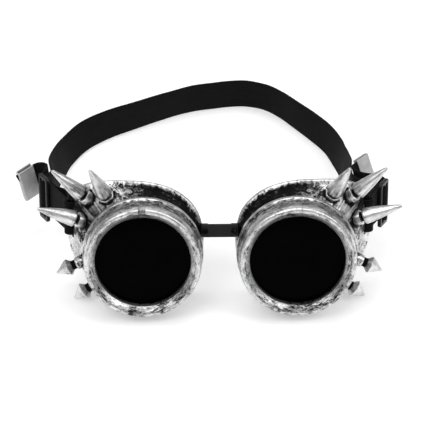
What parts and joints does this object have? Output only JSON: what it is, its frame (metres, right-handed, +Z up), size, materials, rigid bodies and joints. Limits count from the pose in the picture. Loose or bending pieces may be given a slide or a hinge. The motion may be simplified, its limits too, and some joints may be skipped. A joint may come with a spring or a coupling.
{
  "type": "spiked round goggles",
  "caption": "Round screw-ring costume goggles in welding-goggle form, with conical spikes, tinted lenses, flexible nose bridge and elastic head strap.",
  "frame": {"origin": "on the table, under the middle of the whole object's bounding box", "axes": "+X to the viewer's right across both lenses, +Y back from the lenses to the strap, +Z up; both lens axes lie in planes of constant X and tilt 15 degrees upwards to the front"},
  "size_m": [0.208, 0.203, 0.0789],
  "materials": {
    "antique_silver": "antique silver coat, bright edges over dark brushed recesses",
    "tinted_glass": "near-black welding shade, polished",
    "rubber": "matt",
    "leather": "dark grey strip, satin",
    "elastic": "woven black elastic with fine lengthwise ribs",
    "slider_plastic": "moulded black, satin gloss",
    "nickel": "satin nickel sheet",
    "screw_steel": "plain steel screws"
  },
  "bodies": {
    "bridge_and_strap": {"nose_bridge": "leather", "left_strap_band": "elastic", "right_strap_band": "elastic"},
    "left_cup": {"left_eye_cup": "antique_silver", "left_upper_spike": "antique_silver", "left_middle_spike": "antique_silver", "left_outer_spike": "antique_silver", "left_side_spike": "antique_silver", "left_lower_spike": "antique_silver", "left_upper_spike_screw": "screw_steel", "left_middle_spike_screw": "screw_steel", "left_outer_spike_screw": "screw_steel", "left_side_spike_screw": "screw_steel", "left_lower_spike_screw": "screw_steel", "left_strap_fold": "elastic", "left_end_clamp": "nickel"},
    "left_lens": {"left_tinted_lens": "tinted_glass", "left_lens_gasket": "rubber"},
    "left_ring": {"left_retaining_ring": "antique_silver"},
    "left_slider": {"left_strap_slider": "slider_plastic"},
    "right_cup": {"right_eye_cup": "antique_silver", "right_upper_spike": "antique_silver", "right_middle_spike": "antique_silver", "right_outer_spike": "antique_silver", "right_side_spike": "antique_silver", "right_lower_spike": "antique_silver", "right_upper_spike_screw": "screw_steel", "right_middle_spike_screw": "screw_steel", "right_outer_spike_screw": "screw_steel", "right_side_spike_screw": "screw_steel", "right_lower_spike_screw": "screw_steel", "right_strap_fold": "elastic", "right_end_clamp": "nickel"},
    "right_lens": {"right_tinted_lens": "tinted_glass", "right_lens_gasket": "rubber"},
    "right_ring": {"right_retaining_ring": "antique_silver"},
    "right_slider": {"right_strap_slider": "slider_plastic"}
  },
  "joints": [
    {"name": "left_cup_flex", "type": "hinge", "parent": "bridge_and_strap", "child": "left_cup", "pos_m": [0.00387, -0.07095, 0.03924], "axis": [0, -0.2588, -0.9659], "range_deg": [-12, 20], "stiffness_Nm_per_rad": 0.08, "deforming": ["left_strap_band", "nose_bridge"]},
    {"name": "left_lens_slide", "type": "slide", "parent": "left_cup", "child": "left_lens", "axis": [0, -0.9659, 0.2588], "range_m": [0, 0.00501]},
    {"name": "left_ring_turn", "type": "hinge", "parent": "left_lens", "child": "left_ring", "pos_m": [-0.03223, -0.0861, 0.03294], "axis": [0, -0.9659, 0.2588], "range_deg": [0, 720]},
    {"name": "left_slider_slide", "type": "slide", "parent": "left_cup", "child": "left_slider", "axis": [-0.4067, 0.8824, -0.2364], "range_m": [-0.0213, 0.001]},
    {"name": "right_cup_flex", "type": "hinge", "parent": "bridge_and_strap", "child": "right_cup", "pos_m": [0.01287, -0.07095, 0.03924], "axis": [0, 0.2588, 0.9659], "range_deg": [-12, 20], "stiffness_Nm_per_rad": 0.08, "deforming": ["right_strap_band", "nose_bridge"]},
    {"name": "right_lens_slide", "type": "slide", "parent": "right_cup", "child": "right_lens", "axis": [0, -0.9659, 0.2588], "range_m": [0, 0.00501]},
    {"name": "right_ring_turn", "type": "hinge", "parent": "right_lens", "child": "right_ring", "pos_m": [0.04897, -0.0861, 0.03294], "axis": [0, -0.9659, 0.2588], "range_deg": [0, 720]},
    {"name": "right_slider_slide", "type": "slide", "parent": "right_cup", "child": "right_slider", "axis": [0.4067, 0.8824, -0.2364], "range_m": [-0.0083, 0.001]}
  ],
  "couplings": [
    {"joint": "left_lens_slide", "follows": "left_ring_turn", "m_per_rad": 0.00039789},
    {"joint": "right_lens_slide", "follows": "right_ring_turn", "m_per_rad": 0.00039789}
  ]
}
